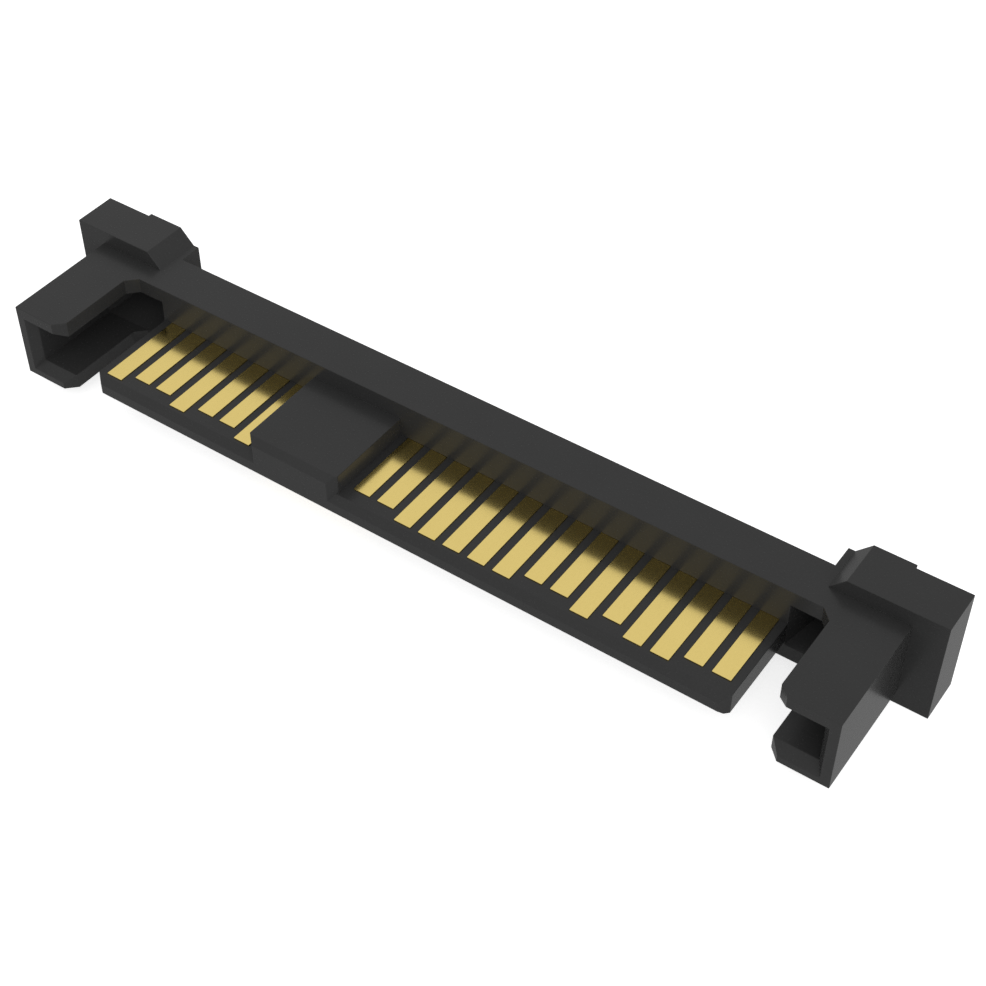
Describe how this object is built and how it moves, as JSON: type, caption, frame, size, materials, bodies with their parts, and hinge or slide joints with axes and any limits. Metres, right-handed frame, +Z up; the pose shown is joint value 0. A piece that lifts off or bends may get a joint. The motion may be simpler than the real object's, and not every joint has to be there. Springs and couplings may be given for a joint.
{
  "type": "board-mounted serial drive plug connector",
  "caption": "Low black plug with a blade tongue of flat gold contacts, a raised key block, C-shaped guide arms at both ends and a row of solder feet behind.",
  "frame": {"origin": "on the board surface that the end blocks stand on, midway along the plug, straight below the bar's front face", "axes": "+X along the contact rows, from the first signal contact to the last power contact; -Y the way the plug is pushed into its receptacle; +Z up from the board"},
  "size_m": [0.0456, 0.0096, 0.0054],
  "materials": {
    "housing_plastic": "moulded glass-filled black plastic, matte with a fine satin grain",
    "contact_gold": "stamped copper alloy strip with satin gold plating",
    "tab_tin": "stamped brass strip with matte tin plating"
  },
  "bodies": {
    "root": {"housing": "housing_plastic", "signal_contact_01": "contact_gold", "signal_contact_02": "contact_gold", "signal_contact_03": "contact_gold", "signal_contact_04": "contact_gold", "signal_contact_05": "contact_gold", "signal_contact_06": "contact_gold", "signal_contact_07": "contact_gold", "signal_contact_08": "contact_gold", "signal_contact_09": "contact_gold", "signal_contact_10": "contact_gold", "signal_contact_11": "contact_gold", "signal_contact_12": "contact_gold", "signal_contact_13": "contact_gold", "signal_contact_14": "contact_gold", "power_contact_01": "contact_gold", "power_contact_02": "contact_gold", "power_contact_03": "contact_gold", "power_contact_04": "contact_gold", "power_contact_05": "contact_gold", "power_contact_06": "contact_gold", "power_contact_07": "contact_gold", "power_contact_08": "contact_gold", "power_contact_09": "contact_gold", "power_contact_10": "contact_gold", "power_contact_11": "contact_gold", "power_contact_12": "contact_gold", "power_contact_13": "contact_gold", "power_contact_14": "contact_gold", "power_contact_15": "contact_gold", "solder_tab_left": "tab_tin", "solder_tab_right": "tab_tin"}
  },
  "joints": []
}
